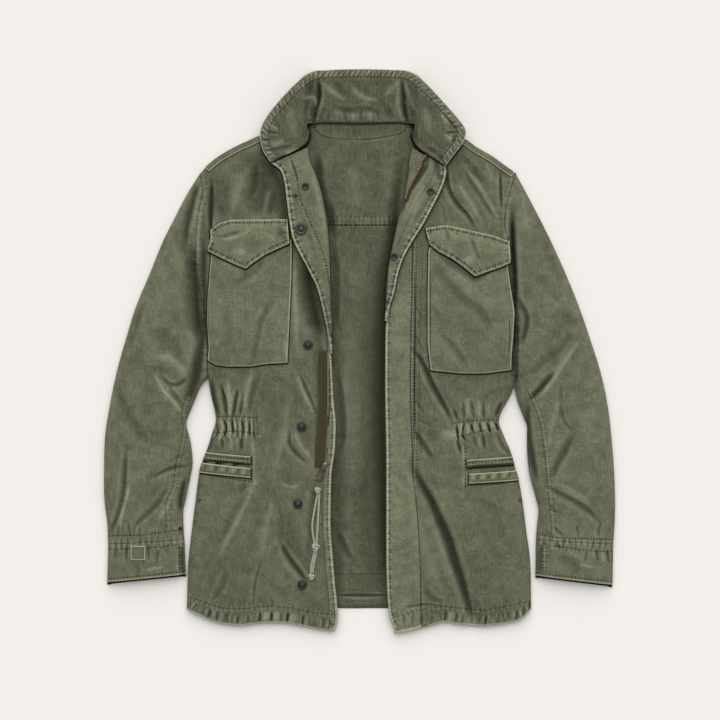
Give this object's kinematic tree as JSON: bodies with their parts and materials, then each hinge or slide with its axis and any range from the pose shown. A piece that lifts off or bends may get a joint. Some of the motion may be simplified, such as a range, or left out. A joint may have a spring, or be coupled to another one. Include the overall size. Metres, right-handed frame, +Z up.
{
  "type": "field jacket",
  "caption": "Cotton field jacket laid open on its back: turned-out collar, lapels, flap and welt pockets, drawn-in waist, zip and press studs.",
  "frame": {"origin": "centre of the object's box in plan, on the surface it lies on", "axes": "+Y from the hem to the collar, +X towards the wearer's left sleeve, +Z up out of the surface"},
  "size_m": [0.7655, 0.8458, 0.0323],
  "materials": {
    "cotton": "washed matt cotton twill",
    "cotton_inside": "matt cotton, inside face",
    "zip_tape": "woven tape with metal teeth",
    "brass": "dark antique brass",
    "dark_metal": "worn black press studs",
    "cord": "waxed cotton cord"
  },
  "bodies": {
    "jacket": {"back_body": "cotton_inside", "back_hem_facing": "cotton_inside", "back_yoke": "cotton_inside", "chest_flap_left": "cotton", "chest_flap_right": "cotton", "chest_pocket_left": "cotton", "chest_pocket_right": "cotton", "collar": "cotton", "cuff_left_under": "cotton", "cuff_left_upper": "cotton", "cuff_patch_right": "cotton", "cuff_right_under": "cotton", "cuff_right_upper": "cotton", "epaulette_left": "cotton", "epaulette_right": "cotton", "fly_left": "cotton", "front_left": "cotton", "front_right": "cotton", "front_stud_1": "dark_metal", "front_stud_2": "dark_metal", "front_stud_3": "dark_metal", "front_stud_4": "dark_metal", "hand_pocket_band_left": "cotton", "hand_pocket_band_right": "cotton", "hand_pocket_welt_left": "cotton", "hand_pocket_welt_right": "cotton", "knot_end": "cord", "knot_middle": "cord", "lapel_left": "cotton", "lapel_left_socket_1": "dark_metal", "lapel_left_socket_2": "dark_metal", "lapel_right": "cotton", "lapel_right_cap": "dark_metal", "lapel_right_socket": "dark_metal", "neck_facing": "cotton_inside", "pull_cord_lower_a": "cord", "pull_cord_lower_b": "cord", "pull_cord_upper_a": "cord", "pull_cord_upper_b": "cord", "side_stud_left": "dark_metal", "side_stud_right": "dark_metal", "sleeve_left_under": "cotton", "sleeve_left_upper": "cotton", "sleeve_right_under": "cotton", "sleeve_right_upper": "cotton", "underlap_right": "cotton", "zip_slider": "brass", "zip_tape_left": "zip_tape", "zip_tape_right": "zip_tape"},
    "zip_pull": {"zip_pull_tab": "brass", "knot_top": "cord"}
  },
  "joints": [
    {"name": "pull_tab_hinge", "type": "hinge", "parent": "jacket", "child": "zip_pull", "pos_m": [-0.05393, -0.17459, 0.02572], "axis": [-0.9075, 0.42, 0], "range_deg": [0, 150]}
  ]
}
